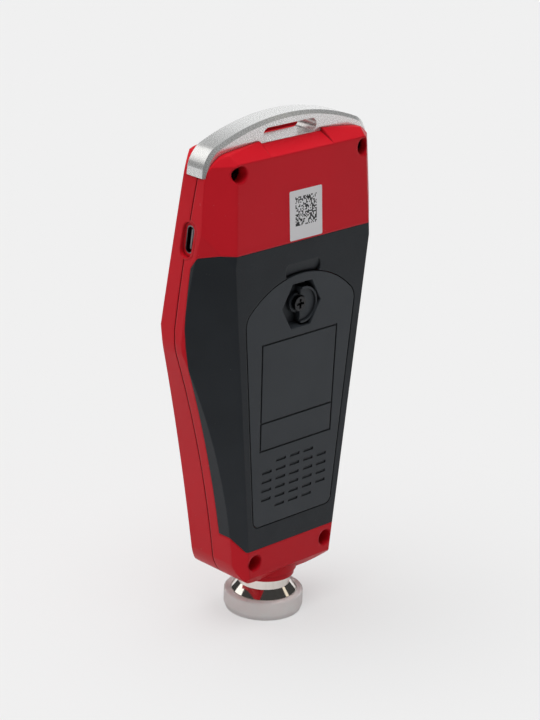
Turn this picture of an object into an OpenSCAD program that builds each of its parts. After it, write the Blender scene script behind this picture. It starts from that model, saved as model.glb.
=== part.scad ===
// Hand-held coating thickness gauge, standing upright on its probe cap.
// The origin is on the probe axis at the cap's underside.
// +Z is up, -Y is the display side, +Y is the battery side, +X is the socket side.
// All sizes are in millimetres.

/* [Body] */
// Distance from the probe axis to the flat back
back_y = 11.5; // [11:0.1:12.5]
// Distance from the probe axis to the flat front of the handle
front_y = 15.3; // [15:0.1:17]
// Height of the bend where the head leans back
kink_z = 103; // [101:0.5:104]
// Half width of the body at its widest point
kink_w = 37.6; // [37:0.1:40]
// Radius of the head's side edges
side_r = 560; // [520:10:600]
// Half width of the handle at its foot
foot_w = 22.2; // [22:0.1:23]
// Backward lean of the head in degrees
head_tilt = 6.5; // [6:0.1:7]
// Thickness of the moulded walls
wall = 2.2; // [2:0.1:2.4]

/* [Grip and door] */
// Thickness of the soft grip layer
grip_t = 0.8; // [0.7:0.05:1]
// Height of the grip's lower edge
grip_low = 28.2; // [28:0.1:29]
// Height of the soft grip above the battery door
grip_over = 10.9; // [10.4:0.1:11.5]
// Half width of the battery door at its foot
door_foot_w = 17.1; // [17:0.1:17.4]
// Half width of the battery door at its shoulder
door_top_w = 23.6; // [23.2:0.1:23.8]
// Thickness of the battery door
door_t = 1.6; // [1.4:0.1:1.8]
// Circumradius of the hexagonal screw recess
hex_r = 8.5; // [8:0.1:8.8]

/* [Lanyard bar] */
// Depth of the metal bar from front to back
bar_d = 7.9; // [7:0.1:8.5]
// Radius of the bar's arched top
bar_r = 80; // [78:0.5:82]
// Height of the bar's highest point above the bend
head_h = 64.5; // [64:0.1:65.5]
// Length of the lanyard slot
slot_l = 22.8; // [20:0.2:24]

/* [Probe] */
// Radius of the chrome probe sleeve
sleeve_r = 8.4; // [8.2:0.05:8.5]
// Radius of the sleeve's flared foot
flare_r = 10.6; // [10.2:0.05:10.8]
// Outer radius of the protective cap
cap_r = 13; // [12.8:0.1:13.6]
// Height of the protective cap
cap_h = 6.4; // [6:0.1:6.8]
// Distance the sleeve slides into the body
sleeve_travel = 3.2; // [2.6:0.1:3.3]

/* [Display and keys] */
// Room beside the display window at the widest point
window_side = 8.6; // [8:0.1:10]
// Height of the head that the display window leaves free
window_free = 24.5; // [23.5:0.5:26]
// Distance each key travels
key_travel = 0.6; // [0.4:0.05:0.65]
// Height of each key above the front face
key_proud = 1.2; // [0.9:0.1:1.6]

/* [Hidden] */
$fn = 64;

// Room between parts that slide past each other
slip = 0.3;
// Half size of the blocks that trim the body
far = 160;
// Amount by which curves that run into each other cross
near = 0.04;

// Heights of the head
bar_top = kink_z + head_h;
rim_top = bar_top - 6.2;

// Side outline of the body
foot_z = 26;
base_z = 14;
base_r = 12;
wide_z = kink_z - 3;
bend_r = 20;
bend_turn = 17.5;
rim_r = 200;
corner_r = 8.8;
side_c = [kink_w - side_r, wide_z];
bend_c = [kink_w - bend_r, wide_z];
bend_dir = [cos(bend_turn), -sin(bend_turn)];
bend_end = bend_c + bend_r * bend_dir;
foot_way = [foot_w, foot_z] - bend_end;
hollow_r = foot_way * foot_way / (2 * foot_way * bend_dir);
hollow_c = bend_end + hollow_r * bend_dir;
base_w = hollow_c[0] - sqrt(pow(hollow_r, 2) - pow(base_z + base_r - hollow_c[1], 2));
base_c = [base_w - base_r, base_z + base_r];
rim_c = [0, rim_top - rim_r];
corner_c = meet(side_c, side_r - corner_r, rim_c, rim_r - corner_r);
cavity_low = base_z + 6;
cavity_high = rim_top - 11.3;

// Parting surface between the two halves
seam_foot_y = -1.5;
seam_kink_y = -5.9;
lean = tan(head_tilt);
seam_end = bar_top + 7;
seam_top_y = seam_kink_y + (seam_end - kink_z) * lean;
seam_w = 0.3;
seam_d = 0.5;

// Bar
bar_c = [0, bar_top - bar_r];
bar_y = 3.2;
bar_in = 5.5;
bar_end = bar_top - 15;
bar_proud = 0.3;
bar_bend = 9;
bar_side_r = side_r + bar_proud;
bar_bend_c = meet(side_c, bar_side_r - bar_bend, bar_c, bar_r - bar_bend);
bar_edge = 1.1;
slot_z = bar_top - 5.3;
slot_h = 4.4;
slot_side = 4;
slot_under = 2.8;
slot_over = 1.2;
notch_d = 1.4;
notch_front = bar_y - bar_d - 1.8;
rim_land = 0.8;

// Faces of the back: half width of the flat, its growth with height, lean outwards
facet_w = foot_w - 2.7;
facet_z = 33;
facet_in = 10.75;
facet_k = (kink_w - facet_in - facet_w) / (kink_z - facet_z);
facet_lean = 0.8;
head_lean = 1.1;
head_k = 0.12;
back_lean = 0.075;
rim_slope = 0.68;
rim_depth = 6.2;

// Battery bay
cell_r = 7.25;
cell_l = 50.5;
cell_gap = 0.2;
cell_x = cell_r + cell_gap;
bay_w = 2 * cell_r + 3 * cell_gap;
bay_low = 38.2;
bay_wall = 1.4;
cell_y = back_y - door_t - 0.5 - cell_r;
bay_floor = cell_y - cell_r - 0.2;
cell_z = bay_low + 5.2;
bay_high = cell_z + cell_l + 2.5;
contact_t = 0.5;
contact_w = 10;
contact_h = 11;
contact_r = 4.4;
contact_tip_r = 3;
contact_bore_r = 2.2;
post_x = 10;
post_t = 3;
post_low = bay_low + 9.8;
post_high = bay_high - 2.4;

// Battery door
door_low = 36;
door_arc = 31;
door_gap = 0.3;
door_r = 6;
door_foot_r = 2.5;
hex_d = 3.6;
hex_wall = 1.2;
hex_z = bay_high + hex_r + hex_wall + 1.8;
door_top = hex_z + 10.3;
shoulder_z = hex_z - 2.9;
door_c = [0, door_top - door_arc];
door_k = (door_top_w - door_foot_w) / (shoulder_z - door_low);
door_up = [door_k, 1] / norm([door_k, 1]);
door_out = [door_up[1], -door_up[0]];
door_way = [door_foot_w, door_low] - door_r * door_out - door_c;
door_run = sqrt(pow(door_way * door_up, 2) - door_way * door_way + pow(door_arc - door_r, 2));
door_bend_c = door_c + door_way + (door_run - door_way * door_up) * door_up;
door_foot_c = [door_foot_w + door_k * door_foot_r - door_foot_r / door_up[1], door_low + door_foot_r];
disc_r = 6;
disc_at = [-1.5, hex_z - 0.6];
disc_y = back_y - 0.5;
disc_rim = 0.7;
disc_dish = 0.7;
knob_r = 3.2;
door_seat_y = back_y - 2.1;
scoop_w = 15;
scoop_h = 5.4;
scoop_d = 1.5;
grip_high = door_top + grip_over;
panel_low = bay_low + 23.5;
panel_mid = panel_low + 9.7;
panel_high = bay_high + 1.6;
panel_w = 15.9;
panel_k = 0.02;
groove = 0.6;
groove_d = 0.35;
dash_l = 4.2;
dash_h = 0.9;
dash_pitch_x = 6.1;
dash_pitch_z = 3.1;
dash_z = bay_low + 11.4;

// Edge of the soft grip on the side walls, as [y, z]
grip_edge = [[2.2, grip_low], [0.4, 60], [-1.5, kink_z - 5], [-1.5, kink_z + 1],
             [0, grip_high - 5], [2.6, grip_high - 1.2]];

// Screws
screw_head_r = 2.5;
screw_hole_r = 2.75;
screw_r = 1.45;
boss_r = 3.2;
seat_y = 4;
seat_t = 2;
upper_screw = [26.5, rim_top - 7.4];
lower_screw = [15.8, 23.6];
boss_bottom_y = -6.6;

// Label above the grip
sticker_w = 14;
sticker_h = 15.6;
sticker_t = 0.12;
sticker_r = 0.5;
sticker_x = -0.7;
sticker_up = (rim_top - grip_high - sticker_h) / 2;

// Probe
collar_low = 12.6;
collar_r = 10.4;
collar_rim_r = 9.7;
step_z = 16.2;
collar_roof = 25.4;
collar_high = collar_roof + 2.4;
cap_floor = 1.6;
neck_z = 9.1;
flange_r = 9.2;
flange_t = 1.2;
sleeve_bore = 6.6;
stem_r = 3.6;
tip_z = cap_floor + sleeve_travel - 0.1;
coil_low = tip_z + 1.5;
coil_l = 11;
coil_r = 5.2;
bobbin_r = 5.9;
bobbin_t = 1;
core_r = 2;
core_l = coil_l + 1;
tip_r = 1.8;
tip_t = 1;
tip_round_r = 2;
spring_wire = 0.8;
spring_r = 8.1;
spring_low = step_z + flange_t;
spring_high = collar_roof;

// Head parts, in the leaning frame whose y = 0 is the parting surface
usb_y = 0.25;
usb_h = 2.6;
usb_shell = 0.35;
board_back = usb_y - usb_h / 2 - usb_shell;
board_t = 1.2;
board_front = board_back - board_t;
head_front = -front_y - seam_kink_y;
window_t = 1.2;
window_back = head_front + 0.4 + window_t;
window_w = 2 * (kink_w - window_side);
window_h = head_h - window_free;
window_z = window_h / 2 + 2.5;
lcd_w = window_w - 6;
lcd_h = window_h - 6;
lcd_t = 2.8;
usb_z = window_z + 7.2;
usb_l = 8.4;
usb_d = 7.4;
surround_l = 12.6;
surround_h = 7;
surround_in = kink_w - 7;
usb_face = kink_w - 2.1;
board_half = surround_in - slip;
buzzer_r = 5;
buzzer_h = 4;
buzzer_x = board_half - 2 * buzzer_r;
buzzer_z = window_z - window_h / 4;

// Keys, as [x, z, half width, half height]
menu_at = [0, 88.5, 9, 4];
up_at = [10.5, 75.5, 6, 4];
down_at = [-10.5, 75.5, 6, 4];
power_at = [0, 62, 5, 5];
keys = [menu_at, up_at, down_at, power_at];
key_gap = 0.3;
key_flange = 1;
inner_front = -front_y + wall + 0.2;
key_board_front = -9.3;
key_board_t = 1.2;
key_board_w = 36;
key_board_low = power_at[1] - 14;
key_board_high = menu_at[1] + 7.5;
switch_h = 1.2;
switch_w = 2.6;
key_stem_end = key_board_front - switch_h - key_travel - 0.1;

// Upper point where two circles of the plane meet
function meet(a, ra, b, rb) =
    let (d = norm(b - a),
         u = (b - a) / d,
         run = (ra * ra - rb * rb + d * d) / (2 * d))
    a + run * u + sqrt(ra * ra - run * run) * [-u[1], u[0]];

// Point of the plane on the chosen side
function on_side(side, p) = [side * p[0], p[1]];

// Block that fills the space in front of a plane, moved inwards by inset
module beyond(point, normal, inset = 0) {
    size = norm(normal);
    inner = point - normal * (inset / size);
    translate(inner)
        rotate([0, acos(normal[2] / size), atan2(normal[1], normal[0])])
            translate([-far, -far, 0])
                cube([2 * far, 2 * far, far]);
}

// Extrudes an outline drawn in X and Z from the front y to the back y
module along_y(y_low, y_high) {
    translate([0, y_high, 0])
        rotate([90, 0, 0])
            linear_extrude(y_high - y_low)
                children();
}

// Extrudes an outline drawn in Y and Z across X, centred
module along_x(width) {
    rotate([90, 0, 90])
        linear_extrude(width, center = true)
            children();
}

// Frame of the leaning head, with y = 0 on the parting surface
module in_head() {
    translate([0, seam_kink_y, kink_z])
        rotate([-head_tilt, 0, 0])
            children();
}

// Long hole or pad with round ends, drawn flat
module stadium(length, height) {
    square([length - height, height], center = true);
    for (side = [-1, 1])
        translate([side * (length - height) / 2, 0])
            circle(d = height);
}

// Rectangle with round corners, drawn flat
module soft_rect(width, height, r) {
    square([width - 2 * r, height], center = true);
    square([width, height - 2 * r], center = true);
    for (i = [-1, 1], j = [-1, 1])
        translate([i * (width / 2 - r), j * (height / 2 - r)])
            circle(r);
}

// Space under an arch with its centre at the given height, drawn flat
module under_arch(r, centre_z) {
    translate([0, centre_z])
        circle(r, $fn = 360);
    translate([-r, -1])
        square([2 * r, centre_z + 1]);
}

// Space outside a rounding, between two directions from its centre, drawn flat
module outside_arc(centre, r, first, second) {
    a = (r + 30) * first / norm(first);
    b = (r + 30) * second / norm(second);
    translate(centre)
        difference() {
            polygon([[0, 0], a, a + b, b]);
            circle(r + near, $fn = 360);
        }
}

// Front view of the body, with its edges moved inwards
module outline(inset) {
    difference() {
        intersection() {
            translate(side_c)
                circle(side_r - inset, $fn = 720);
            translate(on_side(-1, side_c))
                circle(side_r - inset, $fn = 720);
            translate(rim_c)
                circle(rim_r - inset, $fn = 720);
            translate([-far, base_z + inset])
                square(2 * far);
        }
        for (side = [-1, 1]) {
            translate(on_side(side, hollow_c))
                circle(hollow_r + inset, $fn = 720);
            outside_arc(on_side(side, bend_c), bend_r - inset, on_side(side, bend_dir), [side, 0]);
            outside_arc(on_side(side, corner_c), corner_r - inset, on_side(side, corner_c - side_c),
                        on_side(side, corner_c - rim_c));
            outside_arc(on_side(side, base_c), base_r - inset, [0, -1], [side, 0]);
        }
    }
}

// Faces of the back
module trim_back(inset) {
    head_w = facet_w + facet_k * (grip_high - facet_z) - 0.9;
    corner = corner_c + corner_r * [0.76, 0.76];
    beyond([0, back_y, 0], [0, 1, 0], inset);
    beyond([0, back_y, grip_high], [0, 1, back_lean], inset);
    beyond([0, bar_y, rim_top], [0, rim_slope, 1], inset);
    beyond([0, back_y, base_z + 4.6], [0, 1, -1], inset);
    for (side = [-1, 1]) {
        beyond([side * facet_w, back_y, facet_z], [side, facet_lean, -facet_k], inset);
        beyond([side * head_w, back_y, grip_high], [side, head_lean, head_k], inset);
        beyond([side * corner[0], bar_y, corner[1]], [side, 1, 1], inset);
    }
}

// Faces of the front
module trim_front(inset) {
    edge_y = -front_y + 3.2;
    low_k = (kink_w - foot_w) / (kink_z - foot_z);
    high_k = (rim_top - wide_z) / (2 * side_r);
    beyond([0, -front_y, 0], [0, -1, 0], inset);
    beyond([0, -front_y, kink_z], [0, -1, lean], inset);
    beyond([0, edge_y + 1, base_z], [0, -1, -1], inset);
    beyond([0, notch_front - rim_land, rim_top], [0, -1, 1], inset);
    for (side = [-1, 1]) {
        beyond([side * kink_w, edge_y, kink_z], [side, -1.25, -low_k], inset);
        beyond([side * kink_w, edge_y, kink_z], [side, -1.25, high_k + 1.25 * lean], inset);
    }
}

// Whole body, with its walls, back and front moved inwards
module body_form(side_inset, back_inset, front_inset) {
    difference() {
        along_y(-front_y - 1, back_y + 1)
            outline(side_inset);
        trim_back(back_inset);
        trim_front(front_inset);
    }
}

// Space behind the parting surface
module rear_zone() {
    along_x(2 * far)
        polygon([[seam_foot_y, -5], [seam_foot_y, base_z], [seam_kink_y, kink_z],
                 [seam_top_y, seam_end], [far, seam_end], [far, -5]]);
}

// Fine groove along the parting line
module seam_groove() {
    difference() {
        rear_zone();
        translate([0, seam_w, 0])
            rear_zone();
        body_form(seam_d, -far, -far);
    }
}

// Hollow inside of the body
module cavity() {
    intersection() {
        body_form(wall, wall + grip_t - 0.4, wall + 0.2);
        translate([-far, -far, cavity_low])
            cube([2 * far, 2 * far, cavity_high - cavity_low]);
    }
}

// Outline of the bar's outside, drawn flat
module bar_outside() {
    difference() {
        intersection() {
            translate(side_c)
                circle(bar_side_r, $fn = 720);
            translate(on_side(-1, side_c))
                circle(bar_side_r, $fn = 720);
            translate(bar_c)
                circle(bar_r, $fn = 360);
            translate([-far, bar_end])
                square(2 * far);
        }
        for (side = [-1, 1])
            bar_bend_space(side, bar_bend);
    }
}

// Space outside the bar's bend on one side, drawn flat
module bar_bend_space(side, r) {
    outside_arc(on_side(side, bar_bend_c), r, on_side(side, bar_bend_c - side_c),
                on_side(side, bar_bend_c - bar_c));
}

// Outline of the bar without its slot
module bar_outline() {
    leg_in = 3.2;
    difference() {
        bar_outside();
        intersection() {
            translate(side_c)
                circle(bar_side_r - leg_in, $fn = 720);
            translate(on_side(-1, side_c))
                circle(bar_side_r - leg_in, $fn = 720);
            translate(bar_c)
                circle(bar_r - bar_in, $fn = 360);
        }
    }
    intersection() {
        bar_outside();
        translate([-slot_l / 2 - slot_side, slot_z - slot_h / 2 - slot_under])
            square([slot_l + 2 * slot_side, slot_h + slot_under + slot_over]);
    }
}

// Space that the bar takes in the two halves
module bar_groove() {
    along_y(bar_y - bar_d, bar_y)
        bar_outline();
}

// Lanyard notch in the rim before and behind the bar
module rim_notch() {
    notch_z = rim_top - notch_d;
    along_x(slot_l + 4)
        polygon([[notch_front, notch_z], [bar_y, notch_z],
                 [bar_y + rim_depth, rim_top - rim_slope * rim_depth],
                 [bar_y + rim_depth, seam_end], [notch_front, seam_end]]);
}

// Round hole drawn along Y at a place in X and Z
module bore(at, r, y_low, y_high) {
    translate([at[0], y_high, at[1]])
        rotate([90, 0, 0])
            cylinder(r = r, h = y_high - y_low);
}

// Calls its children at each of the four case screws
module at_screws() {
    for (side = [-1, 1], at = [upper_screw, lower_screw])
        translate([side * at[0], 0, at[1]])
            children();
}

// Body of the probe collar inside the two halves
module collar_space() {
    translate([0, 0, base_z + 0.6])
        cylinder(r = collar_r, h = collar_high - base_z - 0.6);
    cylinder(r = collar_rim_r, h = base_z + 1);
}

// Raised frame around the socket, part of the front half
module usb_surround() {
    in_head()
        translate([surround_in, usb_y, usb_z])
            rotate([90, 0, 90])
                linear_extrude(12)
                    rotate(90)
                        stadium(surround_l, surround_h);
}

module socket_hole() {
    in_head()
        translate([0, usb_y, usb_z])
            rotate([90, 0, 90])
                rotate(90) {
                    translate([0, 0, usb_face - usb_d])
                        linear_extrude(20)
                            stadium(usb_l + 2 * usb_shell, usb_h + 2 * usb_shell);
                    translate([0, 0, usb_face])
                        linear_extrude(20)
                            stadium(usb_l + 3, usb_h + 2.4);
                }
}

// Block with its faces in X and Z given by lists of two
module block_between(x, y, z) {
    translate([x[0], y[0], z[0]])
        cube([x[1] - x[0], y[1] - y[0], z[1] - z[0]]);
}

// Display opening with the window's seat
module window_opening() {
    in_head()
        translate([0, 0, window_z]) {
            along_y(head_front - 2, 0)
                soft_rect(lcd_w + 1, lcd_h + 1, 1);
            along_y(head_front - 2, window_back)
                soft_rect(window_w, window_h, 3);
        }
}

// Outline of one key, grown by a margin
module key_outline(key, margin) {
    translate([key[0], key[1]])
        soft_rect(2 * (key[2] + margin), 2 * (key[3] + margin), key[3] - 0.2 + margin);
}

module front_housing() {
    color([0.72, 0.2, 0.22])
        difference() {
            union() {
                difference() {
                    body_form(0, 0, 0);
                    rear_zone();
                    cavity();
                }
                intersection() {
                    usb_surround();
                    body_form(0, 0, 0);
                }
                intersection() {
                    difference() {
                        body_form(0.5, 0.5, 0.5);
                        rear_zone();
                    }
                    union() {
                        at_screws()
                            bore([0, 0], boss_r, -far, far);
                        translate([0, 0, base_z])
                            cylinder(r = collar_r + 1.6, h = collar_high - base_z);
                    }
                }
            }
            bar_groove();
            rim_notch();
            collar_space();
            window_opening();
            socket_hole();
            at_screws()
                bore([0, 0], screw_r + 0.05, boss_bottom_y, far);
            for (key = keys)
                along_y(-front_y - 5, inner_front + 2)
                    key_outline(key, key_gap);
        }
}

// Outline of the battery door, moved inwards by inset
module door_outline(inset) {
    over = 20;
    foot = door_foot_w - inset;
    top = foot + door_k * (shoulder_z + over - door_low - inset);
    difference() {
        intersection() {
            polygon([[-foot, door_low + inset], [foot, door_low + inset],
                     [top, shoulder_z + over], [-top, shoulder_z + over]]);
            under_arch(door_arc - inset, door_c[1]);
        }
        for (side = [-1, 1]) {
            outside_arc(on_side(side, door_bend_c), door_r - inset, on_side(side, door_out),
                        on_side(side, door_bend_c - door_c));
            outside_arc(on_side(side, door_foot_c), door_foot_r - inset, [0, -1], on_side(side, door_out));
        }
    }
}

// Space that the door takes
module door_space() {
    along_y(back_y - door_t, back_y + 2)
        door_outline(-door_gap);
    bore([0, hex_z], hex_r + hex_wall + 0.2, back_y - hex_d - hex_wall, back_y);
}

// Finger scoop above the door, grown by a margin
module scoop(margin) {
    scoop_tilt = 14;
    translate([0, back_y + 0.2, door_top - 1.5])
        rotate([-scoop_tilt, 0, 0])
            along_y(-scoop_d - margin, 3)
                translate([0, scoop_h / 2])
                    soft_rect(scoop_w + 2 * margin, scoop_h + 2 * margin, 2.4 + margin);
}

// Outline in front view that the grip layer covers
module grip_outline() {
    reach = kink_w + 3;
    rise = 1.33 * (reach - facet_w);
    polygon([[-reach, grip_low + rise], [-facet_w, grip_low], [facet_w, grip_low], [reach, grip_low + rise],
             [reach, grip_high], [-reach, grip_high]]);
}

// Room for the grip layer on the rear half
module grip_space() {
    difference() {
        intersection() {
            difference() {
                body_form(0, 0, 0);
                body_form(grip_t, grip_t, 0);
            }
            along_y(seam_kink_y + 1, back_y + 1)
                grip_outline();
            along_x(2 * far)
                polygon(concat(grip_edge, [[back_y + 1, grip_high + 1], [back_y + 1, grip_low]]));
        }
        usb_surround();
    }
}

// Walls of the battery bay and the posts under the key board
module bay_walls() {
    block_between([-bay_w - bay_wall, bay_w + bay_wall], [bay_floor - bay_wall, back_y - wall - 0.4],
                  [bay_low - bay_wall, bay_high + bay_wall]);
    for (side = [-1, 1])
        block_between([side * post_x - post_t / 2, side * post_x + post_t / 2],
                      [key_board_front + key_board_t, bay_floor - 1], [post_low, post_high]);
}

module rear_housing() {
    color([0.67, 0.15, 0.18])
        difference() {
            union() {
                difference() {
                    intersection() {
                        body_form(0, 0, 0);
                        rear_zone();
                    }
                    cavity();
                }
                intersection() {
                    body_form(grip_t + 0.3, grip_t + 0.3, 0.5);
                    union() {
                        bay_walls();
                        bore([0, hex_z], hex_r + hex_wall + 1.6, -3, back_y);
                        intersection() {
                            rear_zone();
                            union() {
                                at_screws()
                                    bore([0, 0], boss_r + 1, -far, far);
                                translate([0, 0, base_z])
                                    cylinder(r = collar_r + 1.6, h = collar_high - base_z);
                            }
                        }
                    }
                }
            }
            grip_space();
            door_space();
            scoop(grip_t);
            seam_groove();
            block_between([-bay_w, bay_w], [bay_floor, back_y], [bay_low, bay_high]);
            bore([0, hex_z], 2.6, -2, back_y);
            bar_groove();
            rim_notch();
            collar_space();
            usb_surround();
            at_screws() {
                bore([0, 0], screw_hole_r, seat_y, far);
                bore([0, 0], screw_r + 0.15, -far, far);
            }
        }
}

module grip_overmold() {
    color([0.2, 0.21, 0.22])
        difference() {
            union() {
                grip_space();
                intersection() {
                    scoop(grip_t);
                    body_form(0, 0, 0);
                }
            }
            door_space();
            scoop(0);
        }
}

// Cone that chamfers a round edge of the bar's rear face
module bar_cone(centre, r) {
    translate([centre[0], bar_y, centre[1]])
        rotate([90, 0, 0])
            cylinder(r1 = r - bar_edge, r2 = r - bar_edge + bar_d + 1, h = bar_d + 1, $fn = 360);
}

module lanyard_bar() {
    color([0.84, 0.85, 0.86])
        difference() {
            intersection() {
                bar_groove();
                bar_cone(side_c, bar_side_r);
                bar_cone(on_side(-1, side_c), bar_side_r);
                bar_cone(bar_c, bar_r);
            }
            for (side = [-1, 1])
                difference() {
                    along_y(bar_y - bar_d - 1, bar_y + 1)
                        bar_bend_space(side, bar_bend - 2 * bar_edge);
                    bar_cone(on_side(side, bar_bend_c), bar_bend + near);
                }
            along_y(bar_y - bar_d - 1, bar_y + 1)
                translate([0, slot_z])
                    stadium(slot_l, slot_h);
        }
}

// Frame line of the door's panel, moved inwards by inset, drawn flat
module panel_outline(inset) {
    low_w = panel_w - inset;
    high_w = low_w + panel_k * (panel_high - panel_low);
    polygon([[-low_w, panel_low + inset], [low_w, panel_low + inset],
             [high_w, panel_high - inset], [-high_w, panel_high - inset]]);
}

module battery_door() {
    floor_y = back_y - hex_d;
    color([0.24, 0.25, 0.26])
        difference() {
            union() {
                difference() {
                    union() {
                        along_y(back_y - door_t, back_y)
                            door_outline(0);
                        bore([0, hex_z], hex_r + hex_wall, floor_y - hex_wall, back_y - 0.1);
                    }
                    translate([0, back_y + 0.01, hex_z])
                        rotate([90, 0, 0])
                            cylinder(r1 = hex_r, r2 = hex_r - 0.8, h = hex_d, $fn = 6);
                }
                bore([0, hex_z], knob_r, floor_y - 0.5, door_seat_y);
                intersection() {
                    difference() {
                        bore(disc_at, disc_r, floor_y - 0.5, disc_y);
                        bore(disc_at, disc_r - disc_rim, disc_y - disc_dish, back_y);
                    }
                    block_between([-far, -0.5], [-far, far], [0, far]);
                }
            }
            bore([0, hex_z], screw_head_r + 0.2, door_seat_y, back_y);
            bore([0, hex_z], 1.7, -20, back_y);
            along_y(back_y - groove_d, back_y + 1)
                difference() {
                    panel_outline(0);
                    panel_outline(groove);
                }
            block_between([-panel_w, panel_w], [back_y - groove_d, back_y + 1],
                          [panel_mid - groove / 2, panel_mid + groove / 2]);
            for (column = [-2:2], row = [0:5])
                if (abs(column) < 2 || (row > 0 && row < 5))
                    block_between([column * dash_pitch_x - dash_l / 2, column * dash_pitch_x + dash_l / 2],
                                  [back_y - groove_d, back_y + 1],
                                  [dash_z + (row - 2.5) * dash_pitch_z - dash_h / 2,
                                   dash_z + (row - 2.5) * dash_pitch_z + dash_h / 2]);
        }
}

// Screw along Y with a crossed head that faces the back
module cross_screw(head_r, head_t, shank_r, length) {
    difference() {
        union() {
            rotate([-90, 0, 0])
                cylinder(r = head_r, h = head_t);
            rotate([90, 0, 0])
                cylinder(r = shank_r, h = length);
        }
        for (turn = [0, 90])
            translate([0, head_t, 0])
                rotate([0, turn, 0])
                    cube([head_r * 1.3, head_t, head_r * 0.34], center = true);
    }
}

module door_screw() {
    color([0.15, 0.15, 0.16])
        translate([0, door_seat_y, hex_z])
            cross_screw(2.4, 1.6, 1.4, 8);
}

module door_insert() {
    color([0.78, 0.62, 0.3])
        difference() {
            bore([0, hex_z], 2.6, -2, back_y - hex_d - hex_wall);
            bore([0, hex_z], 1.5, -2.1, back_y);
        }
}

module case_screws() {
    color([0.25, 0.25, 0.27])
        at_screws()
            translate([0, seat_y, 0])
                cross_screw(screw_head_r, 1.8, screw_r, seat_y - boss_bottom_y - 0.6);
}

// One round cell with its raised terminal at the given end
module cell(x, upside) {
    translate([x, cell_y, cell_z + cell_l / 2])
        rotate([upside ? 180 : 0, 0, 0])
            translate([0, 0, -cell_l / 2]) {
                cylinder(r = cell_r, h = cell_l - 1.2);
                cylinder(r = 2.75, h = cell_l);
            }
}

module battery_left() {
    color([0.2, 0.35, 0.3])
        cell(-cell_x, false);
}

module battery_right() {
    color([0.2, 0.35, 0.3])
        cell(cell_x, true);
}

// Block of a contact between two heights
module contact_block(x, z_low, z_high) {
    block_between([x - contact_w / 2, x + contact_w / 2],
                  [cell_y - contact_h / 2, cell_y + contact_h / 2], [z_low, z_high]);
}

// Plate against one end wall of the battery bay
module contact_plate(x, z) {
    contact_block(x, z, z + contact_t);
}

module spring_contacts() {
    coil_h = cell_z - bay_low - contact_t;
    top_end = cell_z + cell_l;
    color([0.75, 0.76, 0.77])
        for (x = [-cell_x, cell_x]) {
            low = x < 0;
            contact_plate(x, low ? bay_low : bay_high - contact_t);
            translate([x, cell_y, low ? bay_low + contact_t : top_end])
                difference() {
                    cylinder(r1 = low ? contact_r : contact_tip_r, r2 = low ? contact_tip_r : contact_r,
                             h = low ? coil_h : bay_high - contact_t - top_end);
                    translate([0, 0, -1])
                        cylinder(r = contact_bore_r, h = far);
                }
        }
}

module plate_contacts() {
    color([0.75, 0.76, 0.77])
        for (x = [-cell_x, cell_x]) {
            z_low = x < 0 ? cell_z + cell_l : bay_low;
            z_high = x < 0 ? bay_high : cell_z;
            contact_block(x, z_low, z_high);
        }
}

module label_sticker() {
    color([0.93, 0.93, 0.94])
        translate([0, back_y, grip_high])
            rotate([atan(back_lean), 0, 0])
                along_y(0, sticker_t)
                    translate([sticker_x, sticker_up])
                        soft_rect(sticker_w, sticker_h, sticker_r);
}

module display_window() {
    color([0.75, 0.8, 0.82])
        in_head()
            translate([0, 0, window_z])
                along_y(window_back - window_t, window_back)
                    soft_rect(window_w - 0.2, window_h - 0.2, 2.9);
}

module lcd_panel() {
    color([0.55, 0.6, 0.52])
        in_head()
            translate([0, 0, window_z])
                along_y(window_back, window_back + lcd_t)
                    soft_rect(lcd_w, lcd_h, 0.8);
}

module lcd_frame() {
    color([0.88, 0.88, 0.86])
        in_head()
            translate([0, 0, window_z])
                along_y(window_back + lcd_t, board_front)
                    soft_rect(lcd_w, lcd_h, 0.8);
}

module main_board() {
    color([0.1, 0.35, 0.2])
        in_head()
            translate([0, 0, window_z])
                along_y(board_front, board_back)
                    soft_rect(2 * board_half, window_h + 3, 2);
}

module usb_socket() {
    color([0.7, 0.71, 0.72])
        in_head()
            translate([0, usb_y, usb_z])
                rotate([90, 0, 90])
                    rotate(90)
                        difference() {
                            translate([0, 0, usb_face - usb_d])
                                linear_extrude(usb_d)
                                    stadium(usb_l + 2 * usb_shell, usb_h + 2 * usb_shell);
                            difference() {
                                translate([0, 0, usb_face - usb_d + 1])
                                    linear_extrude(usb_d)
                                        stadium(usb_l, usb_h);
                                translate([0, 0, usb_face - usb_d])
                                    linear_extrude(usb_d - 0.7)
                                        square([usb_l - 2, 0.7], center = true);
                            }
                        }
}

module buzzer() {
    color([0.12, 0.12, 0.13])
        in_head()
            translate([-buzzer_x, board_back, buzzer_z])
                rotate([-90, 0, 0])
                    difference() {
                        cylinder(r = buzzer_r, h = buzzer_h);
                        translate([0, 0, buzzer_h - 1])
                            cylinder(r = 0.9, h = 2);
                    }
}

module key_board() {
    color([0.1, 0.35, 0.2])
        along_y(key_board_front, key_board_front + key_board_t)
            translate([0, (key_board_low + key_board_high) / 2])
                soft_rect(key_board_w, key_board_high - key_board_low, 1.5);
}

module key_switches() {
    color([0.2, 0.2, 0.21])
        for (key = keys) {
            block_between([key[0] - switch_w, key[0] + switch_w], [key_board_front - 0.8, key_board_front],
                          [key[1] - switch_w, key[1] + switch_w]);
            bore([key[0], key[1]], 1.5, key_board_front - switch_h, key_board_front - 0.8);
        }
}

// One key with its flange inside the wall and its plunger over the switch
module key_body(key) {
    along_y(-front_y - key_proud, inner_front)
        key_outline(key, 0);
    along_y(inner_front, inner_front + key_flange)
        key_outline(key, 1.1);
    bore([key[0], key[1]], 2, inner_front, key_stem_end);
}

module menu_key() {
    color([0.3, 0.31, 0.32])
        key_body(menu_at);
}

module up_key() {
    color([0.3, 0.31, 0.32])
        key_body(up_at);
}

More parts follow.
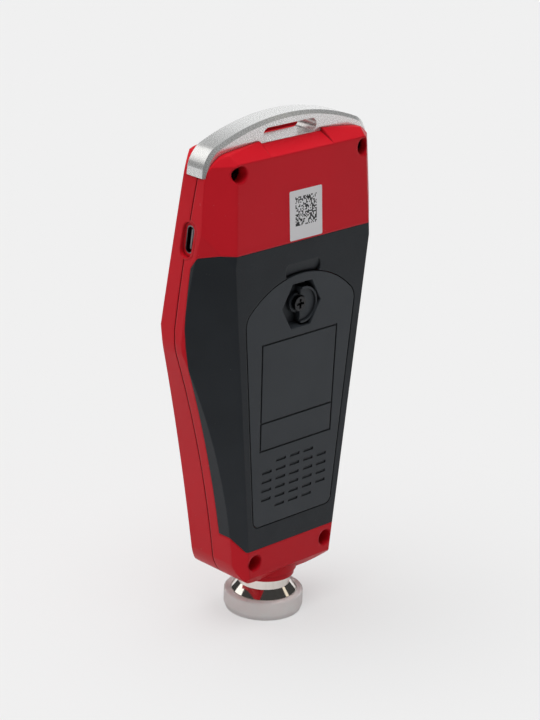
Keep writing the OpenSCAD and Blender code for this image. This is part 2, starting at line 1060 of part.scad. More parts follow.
module down_key() {
    color([0.3, 0.31, 0.32])
        key_body(down_at);
}

module power_key() {
    color([0.72, 0.2, 0.22])
        key_body(power_at);
}

module probe_collar() {
    color([0.7, 0.16, 0.19])
        difference() {
            union() {
                translate([0, 0, collar_low])
                    cylinder(r = collar_rim_r, h = base_z + 1 - collar_low);
                translate([0, 0, base_z + 0.6])
                    cylinder(r = collar_r, h = collar_high - base_z - 0.6);
            }
            cylinder(r = sleeve_r + slip, h = step_z);
            translate([0, 0, step_z])
                cylinder(r = flange_r + slip, h = collar_roof - step_z);
            cylinder(r = stem_r, h = far);
        }
}

module probe_stem() {
    stem_low = coil_low + coil_l;
    color([0.62, 0.63, 0.65])
        union() {
            translate([0, 0, coil_low])
                cylinder(r = core_r, h = core_l);
            translate([0, 0, stem_low])
                cylinder(r = stem_r, h = collar_high - stem_low);
        }
}

module probe_coil() {
    color([0.72, 0.42, 0.22])
        translate([0, 0, coil_low])
            difference() {
                union() {
                    cylinder(r = coil_r, h = coil_l);
                    cylinder(r = bobbin_r, h = bobbin_t);
                    translate([0, 0, coil_l - bobbin_t])
                        cylinder(r = bobbin_r, h = bobbin_t);
                }
                cylinder(r = core_r, h = core_l);
            }
}

module probe_tip() {
    color([0.3, 0.3, 0.32])
        translate([0, 0, tip_z])
            union() {
                translate([0, 0, tip_t / 2])
                    cylinder(r = tip_r, h = tip_t);
                intersection() {
                    translate([0, 0, tip_round_r])
                        sphere(tip_round_r);
                    cylinder(r = tip_r - 0.2, h = tip_t);
                }
            }
}

// Ring of the spring's wire at a turn angle
function coil_ring(angle, pitch, low) =
    let (c = [cos(angle) * spring_r, sin(angle) * spring_r, low + pitch * angle / 360],
         out = [cos(angle), sin(angle), 0])
    [for (i = [0:7])
        c + spring_wire / 2 * (cos(45 * i) * out + sin(45 * i) * [0, 0, 1])];

module probe_spring() {
    turns = 4;
    per_turn = 16;
    low = spring_low + spring_wire / 2;
    pitch = (spring_high - spring_low - spring_wire) / turns;
    rings = turns * per_turn;
    points = [for (k = [0:rings]) each coil_ring(360 * k / per_turn, pitch, low)];
    sides = [for (k = [0:rings - 1], i = [0:7])
        [k * 8 + i, k * 8 + (i + 1) % 8, (k + 1) * 8 + (i + 1) % 8, (k + 1) * 8 + i]];
    ends = [[for (i = [7:-1:0]) i], [for (i = [0:7]) rings * 8 + i]];
    color([0.7, 0.71, 0.72])
        polyhedron(points, concat(sides, ends));
}

module probe_sleeve() {
    color([0.82, 0.83, 0.84])
        rotate_extrude()
            polygon([[sleeve_bore, cap_floor], [flare_r - 0.3, cap_floor], [flare_r, cap_floor + 0.3],
                     [flare_r, cap_h], [sleeve_r, neck_z], [sleeve_r, step_z], [flange_r, step_z],
                     [flange_r, step_z + flange_t], [sleeve_bore, step_z + flange_t]]);
}

module probe_cap() {
    edge = 2;
    rim = 0.6;
    color([0.86, 0.87, 0.88, 0.8])
        difference() {
            rotate_extrude() {
                square([cap_r - edge, cap_h]);
                translate([0, edge])
                    square([cap_r, cap_h - edge - rim]);
                square([cap_r - rim, cap_h]);
                translate([cap_r - edge, edge])
                    circle(edge);
                translate([cap_r - rim, cap_h - rim])
                    circle(rim);
            }
            translate([0, 0, cap_floor])
                cylinder(r = flare_r + slip, h = cap_h);
            translate([0, 0, cap_floor - 0.6])
                cylinder(r = 4, h = 1);
        }
}

front_housing();
rear_housing();
grip_overmold();
lanyard_bar();
battery_door();
door_screw();
door_insert();
case_screws();
battery_left();
battery_right();
spring_contacts();
plate_contacts();
label_sticker();
display_window();
lcd_panel();
lcd_frame();
main_board();
usb_socket();
buzzer();
key_board();
key_switches();
menu_key();
up_key();
down_key();
power_key();
probe_collar();
probe_stem();
probe_coil();
probe_tip();
probe_spring();
probe_sleeve();
probe_cap();
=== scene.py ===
import math

import bpy
from mathutils import Matrix, Vector


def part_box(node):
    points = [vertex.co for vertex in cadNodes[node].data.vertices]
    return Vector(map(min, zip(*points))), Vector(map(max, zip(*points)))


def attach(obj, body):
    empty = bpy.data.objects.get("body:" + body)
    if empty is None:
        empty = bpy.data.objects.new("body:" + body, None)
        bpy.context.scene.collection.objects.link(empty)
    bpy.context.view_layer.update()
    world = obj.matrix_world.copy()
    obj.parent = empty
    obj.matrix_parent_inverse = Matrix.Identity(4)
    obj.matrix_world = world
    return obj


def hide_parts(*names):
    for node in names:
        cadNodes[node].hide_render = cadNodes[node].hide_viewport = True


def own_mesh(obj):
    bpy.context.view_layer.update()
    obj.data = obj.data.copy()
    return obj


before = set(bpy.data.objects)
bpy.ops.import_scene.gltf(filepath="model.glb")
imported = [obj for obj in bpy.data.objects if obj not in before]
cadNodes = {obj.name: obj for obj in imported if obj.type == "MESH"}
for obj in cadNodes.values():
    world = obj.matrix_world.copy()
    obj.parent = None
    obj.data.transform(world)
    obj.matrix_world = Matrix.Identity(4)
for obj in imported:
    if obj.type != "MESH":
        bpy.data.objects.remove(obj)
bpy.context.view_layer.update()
print("frame loaded with", len(cadNodes), "nodes")

mm = 0.001  # one millimetre in metres


# material helpers

# the gap band turns ambient occlusion into painted shade in narrow gaps
grainLook = {
    "detail": 3.0, "noiseBand": (0.3, 0.7), "gapShadeBand": (0.25, 0.8), "samples": 6, "plasticIor": 1.5,
    "speckDetail": 4.0, "speckBand": (0.735, 0.78), "speckColour": (0.55, 0.52, 0.5)}


def startMaterial(name):
    material = bpy.data.materials.new(name)
    material.use_nodes = True
    tree = material.node_tree
    shader = tree.nodes["Principled BSDF"]
    return material, tree, shader


def addNode(tree, kind, **settings):
    node = tree.nodes.new(kind)
    for key, value in settings.items():
        setattr(node, key, value)
    return node


def objectCoords(tree):
    return addNode(tree, "ShaderNodeTexCoord").outputs["Object"]


def noiseAt(tree, coords, size, detail=2.0):  # size is the grain in millimetres
    noise = addNode(tree, "ShaderNodeTexNoise")
    noise.inputs["Scale"].default_value = 1.0 / (size * mm)
    noise.inputs["Detail"].default_value = detail
    tree.links.new(coords, noise.inputs["Vector"])
    return noise.outputs["Fac"]


def rerange(tree, value, band, low, high, **settings):  # a band of the value becomes low to high
    ranger = addNode(tree, "ShaderNodeMapRange", **settings)
    ranger.inputs["From Min"].default_value = band[0]
    ranger.inputs["From Max"].default_value = band[1]
    ranger.inputs["To Min"].default_value = low
    ranger.inputs["To Max"].default_value = high
    tree.links.new(value, ranger.inputs["Value"])
    return ranger.outputs["Result"]


def spread(tree, noise, low, high):
    return rerange(tree, noise, grainLook["noiseBand"], low, high)


def twoTone(tree, value, first, second):  # each tone is a plain colour or a socket
    mixer = addNode(tree, "ShaderNodeMix", data_type="RGBA")
    for socket, tone in (("A", first), ("B", second)):
        if isinstance(tone, tuple):
            mixer.inputs[socket].default_value = (*tone, 1)
        else:
            tree.links.new(tone, mixer.inputs[socket])
    tree.links.new(value, mixer.inputs["Factor"])
    return mixer.outputs["Result"]


def maths(tree, operation, first, second=None):  # each side is a number or a socket
    node = addNode(tree, "ShaderNodeMath", operation=operation)
    for socket, side in ((0, first), (1, second)):
        if isinstance(side, (int, float)):
            node.inputs[socket].default_value = side
        elif side is not None:
            tree.links.new(side, node.inputs[socket])
    return node.outputs["Value"]


def roundedNormal(tree, radius):  # soft edge highlights, radius in millimetres
    bevel = addNode(tree, "ShaderNodeBevel", samples=grainLook["samples"])
    bevel.inputs["Radius"].default_value = radius * mm
    return bevel.outputs["Normal"]


def paintedGapShade(tree, tone, reach, dark):  # painted shade: ambient occlusion darkens the colour in narrow gaps and creases, reach in millimetres
    shade = addNode(tree, "ShaderNodeAmbientOcclusion", samples=grainLook["samples"])
    shade.inputs["Distance"].default_value = reach * mm
    darker = addNode(tree, "ShaderNodeMix", data_type="RGBA", blend_type="MULTIPLY")
    darker.inputs["Factor"].default_value = 1.0
    tree.links.new(tone, darker.inputs["A"])
    tree.links.new(rerange(tree, shade.outputs["AO"], grainLook["gapShadeBand"], dark, 1.0), darker.inputs["B"])
    return darker.outputs["Result"]


def addBump(tree, shader, height, depth, strength, edge=0.0):
    bump = addNode(tree, "ShaderNodeBump")
    bump.inputs["Strength"].default_value = strength
    bump.inputs["Distance"].default_value = depth * mm
    tree.links.new(height, bump.inputs["Height"])
    if edge > 0:
        tree.links.new(roundedNormal(tree, edge), bump.inputs["Normal"])
    tree.links.new(bump.outputs["Normal"], shader.inputs["Normal"])


def paleSpecks(tree, coords, tone, size, amount):  # rare dust specks, size in millimetres
    noise = noiseAt(tree, coords, size, grainLook["speckDetail"])
    dust = rerange(tree, noise, grainLook["speckBand"], 0.0, amount)
    return twoTone(tree, dust, tone, grainLook["speckColour"])


def grainyPlastic(name, look):  # moulded plastic with a fine spark-eroded grain
    material, tree, shader = startMaterial(name)
    coords = objectCoords(tree)
    cloud = noiseAt(tree, coords, look["cloudSize"])
    grain = noiseAt(tree, coords, look["grainSize"], grainLook["detail"])
    tone = twoTone(tree, spread(tree, cloud, 0.0, 1.0), look["colour"], look["colourDeep"])
    if look["dust"] > 0:
        tone = paleSpecks(tree, coords, tone, look["dustSize"], look["dust"])
    # the base colour carries painted shade in narrow gaps and creases
    tree.links.new(paintedGapShade(tree, tone, look["gapShadeReach"], look["gapShadeDark"]), shader.inputs["Base Color"])
    tree.links.new(spread(tree, grain, *look["roughness"]), shader.inputs["Roughness"])
    shader.inputs["Specular IOR Level"].default_value = look["specular"]
    shader.inputs["IOR"].default_value = grainLook["plasticIor"]
    addBump(tree, shader, grain, look["grainDepth"], look["grainStrength"], look["edge"])
    return material


def metalFinish(name, look):
    material, tree, shader = startMaterial(name)
    coords = objectCoords(tree)
    stretch = addNode(tree, "ShaderNodeMapping")
    stretch.inputs["Scale"].default_value = look["stretch"]
    tree.links.new(coords, stretch.inputs["Vector"])
    grain = noiseAt(tree, stretch.outputs["Vector"], look["grainSize"], grainLook["detail"])
    tone = twoTone(tree, spread(tree, grain, 0.0, 1.0), look["colour"], look["colourDeep"])
    tree.links.new(tone, shader.inputs["Base Color"])
    tree.links.new(spread(tree, grain, *look["roughness"]), shader.inputs["Roughness"])
    shader.inputs["Metallic"].default_value = look["metallic"]
    addBump(tree, shader, grain, look["grainDepth"], look["grainStrength"], look["edge"])
    return material


def dress(material, *names):
    for name in names:
        slots = cadNodes[name].data.materials
        slots.clear()
        slots.append(material)


# red half shells and the probe collar

redShellLook = {
    "colour": (0.68, 0.0105, 0.0225), "colourDeep": (0.635, 0.009, 0.0195), "cloudSize": 30,
    "grainSize": 0.35, "grainDepth": 0.012, "grainStrength": 0.35, "roughness": (0.36, 0.46),
    "specular": 0.16, "edge": 0.9, "gapShadeReach": 1.2, "gapShadeDark": 0.12, "dust": 0.3, "dustSize": 1.1}
dress(grainyPlastic("redShell", redShellLook), "front_housing", "rear_housing", "probe_collar")

# soft layer on the back

softGripLook = {
    "colour": (0.023, 0.0275, 0.0335), "colourDeep": (0.019, 0.023, 0.028), "cloudSize": 14,
    "grainSize": 0.3, "grainDepth": 0.02, "grainStrength": 0.4, "roughness": (0.5, 0.64), "specular": 0.3,
    "edge": 0.6, "gapShadeReach": 2.4, "gapShadeDark": 0.04, "dust": 0.12, "dustSize": 0.9}
dress(grainyPlastic("softGrip", softGripLook), "grip_overmold")

# battery door, a little paler than the grip

doorLook = {
    "colour": (0.046, 0.0525, 0.061), "colourDeep": (0.039, 0.045, 0.0525), "cloudSize": 18,
    "grainSize": 0.32, "grainDepth": 0.02, "grainStrength": 0.45, "roughness": (0.46, 0.58), "specular": 0.3,
    "edge": 0.35, "gapShadeReach": 2.6, "gapShadeDark": 0.04, "dust": 0.12, "dustSize": 0.9}
dress(grainyPlastic("doorPlastic", doorLook), "battery_door")

# keys and other dark mouldings

keyLook = {
    "colour": (0.055, 0.058, 0.062), "colourDeep": (0.046, 0.048, 0.052), "cloudSize": 6,
    "grainSize": 0.3, "grainDepth": 0.02, "grainStrength": 0.4, "roughness": (0.5, 0.62), "specular": 0.4,
    "edge": 0.6, "gapShadeReach": 0.8, "gapShadeDark": 0.3, "dust": 0.0, "dustSize": 1.0}
dress(grainyPlastic("greyKey", keyLook), "menu_key", "up_key", "down_key")
redKeyLook = dict(keyLook, colour=(0.40, 0.016, 0.024), colourDeep=(0.35, 0.013, 0.02))
dress(grainyPlastic("redKey", redKeyLook), "power_key")
blackPartLook = dict(keyLook, colour=(0.012, 0.012, 0.013), colourDeep=(0.009, 0.009, 0.01), edge=0.15)
dress(grainyPlastic("blackPart", blackPartLook), "buzzer", "key_switches")

# hidden boards, cells, winding and display holder

boardLook = dict(keyLook, colour=(0.012, 0.085, 0.035), colourDeep=(0.009, 0.06, 0.026), edge=0.1)
dress(grainyPlastic("boardMask", boardLook), "main_board", "key_board")
cellLook = dict(keyLook, colour=(0.02, 0.07, 0.055), colourDeep=(0.016, 0.056, 0.044),
                roughness=(0.25, 0.35), edge=0.4)
dress(grainyPlastic("cellSleeve", cellLook), "battery_left", "battery_right")
coilLook = dict(keyLook, colour=(0.35, 0.12, 0.04), colourDeep=(0.27, 0.085, 0.03),
                roughness=(0.25, 0.4), edge=0.1)
dress(grainyPlastic("coilWinding", coilLook), "probe_coil")
holderLook = dict(keyLook, colour=(0.7, 0.7, 0.67), colourDeep=(0.64, 0.64, 0.61), edge=0.2)
dress(grainyPlastic("whiteHolder", holderLook), "lcd_frame")

# metals

satinBarLook = {
    "colour": (0.96, 0.965, 0.955), "colourDeep": (0.71, 0.72, 0.72), "stretch": (1, 1, 1),
    "grainSize": 0.24, "grainDepth": 0.02, "grainStrength": 0.4, "roughness": (0.2, 0.33), "metallic": 0.64,
    "edge": 0.2}
dress(metalFinish("satinBar", satinBarLook), "lanyard_bar")
chromeLook = {
    "colour": (0.87, 0.84, 0.79), "colourDeep": (0.80, 0.765, 0.71), "stretch": (1, 1, 0.05),
    "grainSize": 1.6, "grainDepth": 0.004, "grainStrength": 0.08, "roughness": (0.04, 0.09), "metallic": 1.0,
    "edge": 0.2}
dress(metalFinish("chromeSleeve", chromeLook), "probe_sleeve")
screwLook = dict(chromeLook, colour=(0.05, 0.05, 0.052), colourDeep=(0.035, 0.035, 0.037),
                 roughness=(0.25, 0.4), stretch=(1, 1, 1), grainSize=0.3)
dress(metalFinish("blackScrew", screwLook), "door_screw", "case_screws")
platedLook = dict(chromeLook, colour=(0.62, 0.63, 0.64), colourDeep=(0.52, 0.53, 0.54),
                  roughness=(0.2, 0.34), stretch=(1, 1, 1), grainSize=0.3)
platedMetal = metalFinish("platedMetal", platedLook)
dress(platedMetal, "spring_contacts", "plate_contacts", "probe_spring")
socketLook = dict(platedLook, colour=(0.34, 0.34, 0.35), colourDeep=(0.24, 0.24, 0.25),
                  roughness=(0.28, 0.42))
dress(metalFinish("socketShell", socketLook), "usb_socket")
stemLook = dict(platedLook, stretch=(1, 1, 12), colour=(0.55, 0.56, 0.58))
dress(metalFinish("turnedSteel", stemLook), "probe_stem", "probe_tip")
brassLook = dict(platedLook, colour=(0.72, 0.48, 0.18), colourDeep=(0.62, 0.4, 0.14))
dress(metalFinish("turnedBrass", brassLook), "door_insert")

# coil spring, wound as one fixed mesh on the housing; it does not shorten as the sleeve slides in

springLook = {  # wire and travel in millimetres
    "wire": 0.8, "turns": 4, "stepsPerTurn": 32, "wireSides": 10, "travel": 3.2, "smoothAngle": 50}


def springCoil():  # wound from the wire's circle, then capped
    low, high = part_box("probe_spring")
    wire = springLook["wire"] * mm
    pitch = (high.z - low.z - wire) / springLook["turns"]
    bpy.ops.object.select_all(action="DESELECT")
    bpy.ops.mesh.primitive_circle_add(vertices=springLook["wireSides"], radius=wire / 2,
                                      rotation=(math.pi / 2, 0, 0),
                                      location=(high.x - wire / 2, 0, low.z + wire / 2))
    bpy.ops.object.transform_apply(location=True, rotation=True, scale=True)
    coil = bpy.context.object
    coil.name = "springCoil"
    bpy.ops.object.modifier_add(type="SCREW")
    screw = coil.modifiers["Screw"]
    screw.screw_offset = pitch
    screw.iterations = springLook["turns"]
    screw.steps = springLook["stepsPerTurn"]
    bpy.ops.object.modifier_apply(modifier="Screw")
    bpy.ops.object.mode_set(mode="EDIT")
    bpy.ops.mesh.select_all(action="SELECT")
    bpy.ops.mesh.fill_holes(sides=0)
    bpy.ops.mesh.select_all(action="SELECT")
    bpy.ops.mesh.normals_make_consistent(inside=False)
    bpy.ops.object.mode_set(mode="OBJECT")
    bpy.ops.object.shade_smooth_by_angle(angle=math.radians(springLook["smoothAngle"]))
    coil.data.materials.append(platedMetal)
    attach(coil, "housing")
    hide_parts("probe_spring")
    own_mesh(coil)


springCoil()
print("spring wound")

# frosted cap

capLook = {
    "colour": (0.97, 0.925, 0.915), "colourDeep": (0.93, 0.875, 0.865), "cloudSize": 5, "frost": (0.42, 0.58),
    "grainSize": 0.25, "grainDepth": 0.02, "grainStrength": 0.3, "edge": 0.3, "seeThrough": 0.42, "ior": 1.46,
    "milk": 0.6, "scatter": (0.006, 0.0055, 0.0055), "glow": 0.04}  # scatter in metres; the glow is painted light, an emission that brightens the cap where the body shades it


def frostedCap():
    material, tree, shader = startMaterial("frostedCap")
    coords = objectCoords(tree)
    grain = noiseAt(tree, coords, capLook["grainSize"], grainLook["detail"])
    cloud = noiseAt(tree, coords, capLook["cloudSize"])
    tone = twoTone(tree, spread(tree, cloud, 0.0, 1.0), capLook["colour"], capLook["colourDeep"])
    tree.links.new(tone, shader.inputs["Base Color"])
    tree.links.new(spread(tree, grain, *capLook["frost"]), shader.inputs["Roughness"])
    shader.inputs["Transmission Weight"].default_value = capLook["seeThrough"]
    shader.inputs["IOR"].default_value = capLook["ior"]
    shader.inputs["Subsurface Weight"].default_value = capLook["milk"]
    shader.inputs["Subsurface Radius"].default_value = capLook["scatter"]
    tree.links.new(tone, shader.inputs["Emission Color"])
    shader.inputs["Emission Strength"].default_value = capLook["glow"]  # painted light: the cap glows to lift it out of the body's shade
    addBump(tree, shader, grain, capLook["grainDepth"], capLook["grainStrength"], capLook["edge"])
    return material


dress(frostedCap(), "probe_cap")

# white label with a formula-made field of small squares

labelLook = {
    "paper": (0.86, 0.85, 0.87), "ink": (0.02, 0.02, 0.022), "cell": 0.42, "fieldHalf": 4.6, "fieldUp": 1.1,
    "inkAbove": 0.52, "fibreSize": 0.5, "fibreDepth": 0.01, "fibreStrength": 0.2, "roughness": (0.42, 0.62)}


def whiteLabel():
    material, tree, shader = startMaterial("whiteLabel")
    low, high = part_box("label_sticker")
    middle = (low + high) / 2
    place = addNode(tree, "ShaderNodeMapping")
    place.inputs["Location"].default_value = (-middle.x, 0, -middle.z - labelLook["fieldUp"] * mm)
    tree.links.new(objectCoords(tree), place.inputs["Vector"])
    snap = addNode(tree, "ShaderNodeVectorMath", operation="SNAP")
    snap.inputs[1].default_value = (labelLook["cell"] * mm, 1.0, labelLook["cell"] * mm)
    tree.links.new(place.outputs["Vector"], snap.inputs[0])
    dots = addNode(tree, "ShaderNodeTexWhiteNoise", noise_dimensions="3D")
    tree.links.new(snap.outputs["Vector"], dots.inputs["Vector"])
    inside = maths(tree, "GREATER_THAN", dots.outputs["Value"], labelLook["inkAbove"])
    axes = addNode(tree, "ShaderNodeSeparateXYZ")
    tree.links.new(place.outputs["Vector"], axes.inputs["Vector"])
    for axis in ("X", "Z"):  # ink only inside the square field
        size = maths(tree, "ABSOLUTE", axes.outputs[axis])
        near = maths(tree, "LESS_THAN", size, labelLook["fieldHalf"] * mm)
        inside = maths(tree, "MULTIPLY", inside, near)
    tree.links.new(twoTone(tree, inside, labelLook["paper"], labelLook["ink"]), shader.inputs["Base Color"])
    fibre = noiseAt(tree, objectCoords(tree), labelLook["fibreSize"], grainLook["detail"])
    tree.links.new(spread(tree, fibre, *labelLook["roughness"]), shader.inputs["Roughness"])
    addBump(tree, shader, fibre, labelLook["fibreDepth"], labelLook["fibreStrength"])
    return material


dress(whiteLabel(), "label_sticker")

# display window and glass

windowLook = {
    "tint": (0.9, 0.93, 0.94), "print": (0.006, 0.006, 0.007), "ior": 1.49, "hazeSize": 12,
    "haze": (0.02, 0.06), "leanDegrees": 6.5, "kink": (-5.9, 103.0), "centreUp": 22.5, "halfWidth": 25.2,
    "halfHeight": 16.2, "glass": (0.19, 0.22, 0.16), "glassDeep": (0.16, 0.19, 0.14)}


def clearWindow():
    material, tree, shader = startMaterial("clearWindow")
    coords = objectCoords(tree)
    lean = math.radians(windowLook["leanDegrees"])
    up = addNode(tree, "ShaderNodeVectorMath", operation="DOT_PRODUCT")  # height along the leaning window
    up.inputs[1].default_value = (0, math.sin(lean), math.cos(lean))
    tree.links.new(coords, up.inputs[0])
    kinkY, kinkZ = windowLook["kink"]
    middle = kinkY * math.sin(lean) + kinkZ * math.cos(lean) + windowLook["centreUp"]
    axes = addNode(tree, "ShaderNodeSeparateXYZ")
    tree.links.new(coords, axes.inputs["Vector"])
    wide = maths(tree, "ABSOLUTE", axes.outputs["X"])
    tall = maths(tree, "ABSOLUTE", maths(tree, "SUBTRACT", up.outputs["Value"], middle * mm))
    outside = maths(tree, "MAXIMUM", maths(tree, "GREATER_THAN", wide, windowLook["halfWidth"] * mm),
                    maths(tree, "GREATER_THAN", tall, windowLook["halfHeight"] * mm))
    border = twoTone(tree, outside, windowLook["tint"], windowLook["print"])
    tree.links.new(border, shader.inputs["Base Color"])
    tree.links.new(maths(tree, "SUBTRACT", 1.0, outside), shader.inputs["Transmission Weight"])
    shader.inputs["IOR"].default_value = windowLook["ior"]
    faint = noiseAt(tree, coords, windowLook["hazeSize"])
    tree.links.new(spread(tree, faint, *windowLook["haze"]), shader.inputs["Roughness"])
    return material


dress(clearWindow(), "display_window")
lcdLook = dict(keyLook, colour=windowLook["glass"], colourDeep=windowLook["glassDeep"], cloudSize=40,
               roughness=(0.2, 0.3), grainStrength=0.05, edge=0.1)
dress(grainyPlastic("displayGlass", lcdLook), "lcd_panel")
print("materials set on the carried-over nodes")

# printed marks on the four keys

markLook = {  # sizes in millimetres, the ring's gap in degrees each side
    "ink": (0.78, 0.78, 0.77), "inkDeep": (0.70, 0.70, 0.69), "cloudSize": 1.5, "inkEdge": 0.05,
    "inkGapShade": 0.8, "thick": 0.03, "edge": 0.015, "barLong": 4.6, "barTall": 0.6, "barStep": 1.35,
    "arrowRadius": 1.7, "corner": 0.2, "cornerSteps": 4,
    "ringRadius": 1.75, "ringWire": 0.28, "ringGap": 34, "ringSteps": 72, "ringSides": 10,
    "stemTall": 1.7, "stemUp": 0.85}  # stemUp is a share of the ring's radius


def markInk():
    # the ink also carries painted shade in its narrow gaps
    look = dict(keyLook, colour=markLook["ink"], colourDeep=markLook["inkDeep"],
                cloudSize=markLook["cloudSize"], edge=markLook["inkEdge"], gapShadeDark=markLook["inkGapShade"])
    return grainyPlastic("markInk", look)


def keyFace(node):  # middle of the key's outer face
    low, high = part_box(node)
    return Vector(((low.x + high.x) / 2, low.y, (low.z + high.z) / 2))


def softEdges():
    bpy.ops.object.mode_set(mode="EDIT")
    bpy.ops.mesh.select_all(action="SELECT")
    bpy.ops.mesh.bevel(offset=markLook["edge"] * mm, segments=1)
    bpy.ops.object.mode_set(mode="OBJECT")
    return bpy.context.object


def thinBar(place, long, tall):
    bpy.ops.mesh.primitive_cube_add(size=1, location=place,
                                    scale=(long * mm, 2 * markLook["thick"] * mm, tall * mm))
    bpy.ops.object.transform_apply(location=True, rotation=True, scale=True)
    return softEdges()


def thinArrow(place, turn):
    bpy.ops.mesh.primitive_circle_add(vertices=3, radius=markLook["arrowRadius"] * mm, fill_type="NGON",
                                      location=place - Vector((0, markLook["thick"] * mm, 0)),
                                      rotation=(math.radians(turn), 0, 0))
    bpy.ops.object.transform_apply(location=True, rotation=True, scale=True)
    bpy.ops.object.mode_set(mode="EDIT")
    bpy.ops.mesh.select_all(action="SELECT")
    bpy.ops.mesh.bevel(offset=markLook["corner"] * mm, segments=markLook["cornerSteps"], affect="VERTICES")
    bpy.ops.mesh.select_all(action="SELECT")
    depth = (0, 2 * markLook["thick"] * mm, 0)
    bpy.ops.mesh.extrude_region_move(TRANSFORM_OT_translate={"value": depth})
    bpy.ops.mesh.select_all(action="SELECT")
    bpy.ops.mesh.normals_make_consistent(inside=False)
    bpy.ops.object.mode_set(mode="OBJECT")
    return softEdges()


def openRing(place):
    bpy.ops.mesh.primitive_torus_add(
        major_radius=markLook["ringRadius"] * mm, minor_radius=markLook["ringWire"] * mm,
        major_segments=markLook["ringSteps"], minor_segments=markLook["ringSides"],
        rotation=(math.radians(90), 0, 0))
    bpy.ops.object.transform_apply(location=True, rotation=True, scale=True)
    ring = bpy.context.object
    bpy.ops.object.mode_set(mode="EDIT")
    bpy.ops.mesh.select_all(action="DESELECT")
    bpy.ops.object.mode_set(mode="OBJECT")
    for vertex in ring.data.vertices:  # the gap at the top
        angle = math.degrees(math.atan2(vertex.co.x, vertex.co.z))
        vertex.select = abs(angle) < markLook["ringGap"]
    bpy.ops.object.mode_set(mode="EDIT")
    bpy.ops.mesh.delete(type="VERT")
    bpy.ops.mesh.select_all(action="SELECT")
    bpy.ops.mesh.fill_holes(sides=0)
    bpy.ops.mesh.select_all(action="SELECT")
    flat = (1, markLook["thick"] / markLook["ringWire"], 1)
    bpy.ops.transform.resize(value=flat, center_override=(0, 0, 0))
    bpy.ops.transform.translate(value=place)
    bpy.ops.object.mode_set(mode="OBJECT")
    return ring


def joinMark(name, parts, body, material):
    bpy.ops.object.select_all(action="DESELECT")
    for part in parts:
        part.select_set(True)
    bpy.context.view_layer.objects.active = parts[0]
    if len(parts) > 1:
        bpy.ops.object.join()
    mark = bpy.context.view_layer.objects.active
    mark.name = name
    mark.data.materials.clear()
    mark.data.materials.append(material)
    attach(mark, body)


def keyMarks():
    bpy.ops.object.select_all(action="DESELECT")
    ink = markInk()
    face = keyFace("menu_key")
    bars = []
    for step in (-1, 0, 1):
        place = face + Vector((0, 0, step * markLook["barStep"] * mm))
        bars.append(thinBar(place, markLook["barLong"], markLook["barTall"]))
    joinMark("menuMark", bars, "menu_key_cap", ink)
    joinMark("upMark", [thinArrow(keyFace("up_key"), 90)], "up_key_cap", ink)
    joinMark("downMark", [thinArrow(keyFace("down_key"), -90)], "down_key_cap", ink)
    face = keyFace("power_key")
    place = face + Vector((0, 0, markLook["ringRadius"] * markLook["stemUp"] * mm))
    stem = thinBar(place, 2 * markLook["ringWire"], markLook["stemTall"])
    joinMark("powerMark", [openRing(face), stem], "power_key_cap", ink)


keyMarks()
print("marks printed on the keys")

# floor, light and camera

stageLook = {
    "floorHalf": 20.0, "floorBounce": (0.60, 0.60, 0.60), "floorSeen": (0.36, 0.36, 0.36), "floorGlow": 0.489,
    "floorBright": (0.84, 0.84, 0.84), "floorDim": (0.08, 0.08, 0.08), "dimSide": (0.707, 0.707, 0),
    "dimBand": (0.06, 0.20), "floorRoughness": 0.8, "worldGrey": (0.19, 0.19, 0.19),
    "glossyGrey": (0.05, 0.05, 0.05), "farTone": (0.865, 0.865, 0.865), "skyStrength": 2.78, "skySpread": 64,
    "skyFrom": (0.16, -0.06, 1.0), "panelAim": (0, 0, 0.1)}
panelLook = {  # panels that only show in reflections: place, width and height, brightness, tint
    "backPanel": ((-1.8, -1.8, 1.0), (3.6, 1.9), 0.80, (1, 1, 1)),
    "leftPanel": ((0.75, -1.55, 1.35), (1.3, 1.5), 1.2, (1, 0.98, 0.95)),
    "rightPanel": ((-1.35, 0.9, 1.2), (0.35, 0.9), 0.9, (1, 0.9, 0.74)),
    "upperPanel": ((-0.2, 0.5, 2.6), (0.9, 0.5), 0.8, (1, 0.98, 0.96))}


def seenDirectly(tree, path):  # rays from the camera, also through glass and the cap
    return maths(tree, "MAXIMUM", path.outputs["Is Camera Ray"], path.outputs["Is Transmission Ray"])


def plainFloor():
    bpy.ops.object.select_all(action="DESELECT")
    bpy.ops.mesh.primitive_plane_add(size=2 * stageLook["floorHalf"], location=(0, 0, 0))
    floor = bpy.context.object
    floor.name = "floor"
    material, tree, shader = startMaterial("paleFloor")
    toward = addNode(tree, "ShaderNodeVectorMath", operation="DOT_PRODUCT")
    toward.inputs[1].default_value = stageLook["dimSide"]
    tree.links.new(objectCoords(tree), toward.inputs[0])
    dim = rerange(tree, toward.outputs["Value"], stageLook["dimBand"], 0.0, 1.0,
                  interpolation_type="SMOOTHSTEP")
    path = addNode(tree, "ShaderNodeLightPath")
    direct = seenDirectly(tree, path)
    mirrored = twoTone(tree, dim, stageLook["floorBright"], stageLook["floorDim"])  # a dark card on one side
    tone = twoTone(tree, path.outputs["Is Glossy Ray"], stageLook["floorBounce"], mirrored)
    seen = twoTone(tree, direct, tone, stageLook["floorSeen"])  # with the glow, a paler shadow
    tree.links.new(seen, shader.inputs["Base Color"])
    shader.inputs["Emission Color"].default_value = (1, 1, 1, 1)
    glow = maths(tree, "MULTIPLY", direct, stageLook["floorGlow"])
    tree.links.new(glow, shader.inputs["Emission Strength"])
    shader.inputs["Roughness"].default_value = stageLook["floorRoughness"]
    shader.inputs["Specular IOR Level"].default_value = 0.0
    floor.data.materials.append(material)


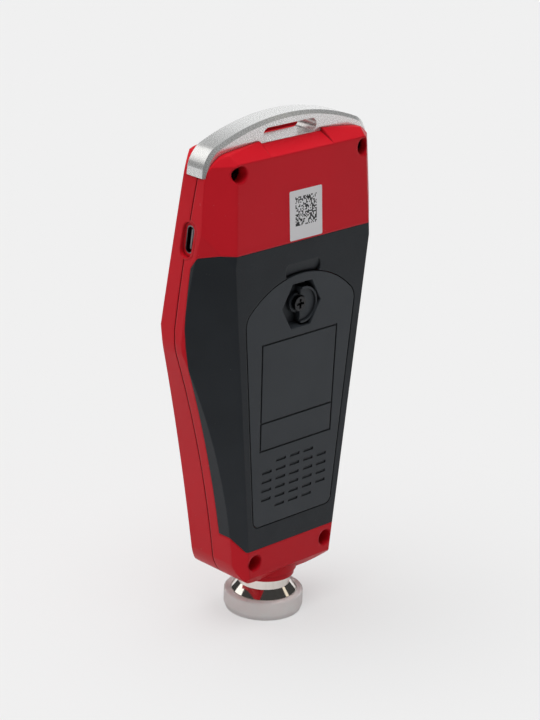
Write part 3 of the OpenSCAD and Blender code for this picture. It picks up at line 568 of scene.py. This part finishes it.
def softWorld():  # reflections see a darker room than the diffuse light does
    world = bpy.data.worlds.new("softWorld")
    bpy.context.scene.world = world
    world.use_nodes = True
    tree = world.node_tree
    background = tree.nodes["Background"]
    path = addNode(tree, "ShaderNodeLightPath")
    tone = twoTone(tree, path.outputs["Is Glossy Ray"], stageLook["worldGrey"], stageLook["glossyGrey"])
    seen = twoTone(tree, seenDirectly(tree, path), tone, stageLook["farTone"])  # as pale as the floor
    tree.links.new(seen, background.inputs["Color"])
    background.inputs["Strength"].default_value = 1.0


def placeLamp(light, place, aim):
    lamp = bpy.data.objects.new(light.name, light)
    bpy.context.scene.collection.objects.link(lamp)
    toward = Vector(aim) - Vector(place)
    turn = toward.to_track_quat("-Z", "Y").to_matrix().to_4x4()
    lamp.matrix_world = Matrix.Translation(place) @ turn
    return lamp


def softSky():  # wide even light from above
    light = bpy.data.lights.new("softSky", "SUN")
    light.energy = stageLook["skyStrength"]
    light.angle = math.radians(stageLook["skySpread"])
    lamp = placeLamp(light, stageLook["skyFrom"], (0, 0, 0))
    lamp.visible_glossy = False


def glossPanels():
    for name, (place, size, brightness, tint) in panelLook.items():
        light = bpy.data.lights.new(name, "AREA")
        light.shape = "RECTANGLE"
        light.size, light.size_y = size
        light.energy = brightness * math.pi * size[0] * size[1]
        light.color = tint
        lamp = placeLamp(light, place, stageLook["panelAim"])
        lamp.visible_diffuse = False
        lamp.visible_camera = False


cameraLook = {
    "eye": (0.5278, 0.5246, 0.3641), "yaw": 45.1, "pitch": 20.5, "roll": -2.38, "lens": 125.0, "sensor": 36.0}


def photoCamera():
    yaw, pitch, roll = (math.radians(cameraLook[key]) for key in ("yaw", "pitch", "roll"))
    right = Vector((-math.cos(yaw), math.sin(yaw), 0))
    level = math.cos(pitch)
    forward = Vector((-level * math.sin(yaw), -level * math.cos(yaw), -math.sin(pitch)))
    above = right.cross(forward)
    across = math.cos(roll) * right - math.sin(roll) * above
    upright = math.sin(roll) * right + math.cos(roll) * above
    camera = bpy.data.cameras.new("photoCamera")
    camera.sensor_fit = "VERTICAL"
    camera.sensor_height = cameraLook["sensor"]
    camera.lens = cameraLook["lens"]
    holder = bpy.data.objects.new("photoCamera", camera)
    bpy.context.scene.collection.objects.link(holder)
    turn = Matrix((across, upright, -forward)).transposed().to_4x4()
    holder.matrix_world = Matrix.Translation(cameraLook["eye"]) @ turn
    bpy.context.scene.camera = holder


plainFloor()
softWorld()
softSky()
glossPanels()
photoCamera()
bpy.context.scene.view_settings.view_transform = "Standard"
print("floor, light and camera set")
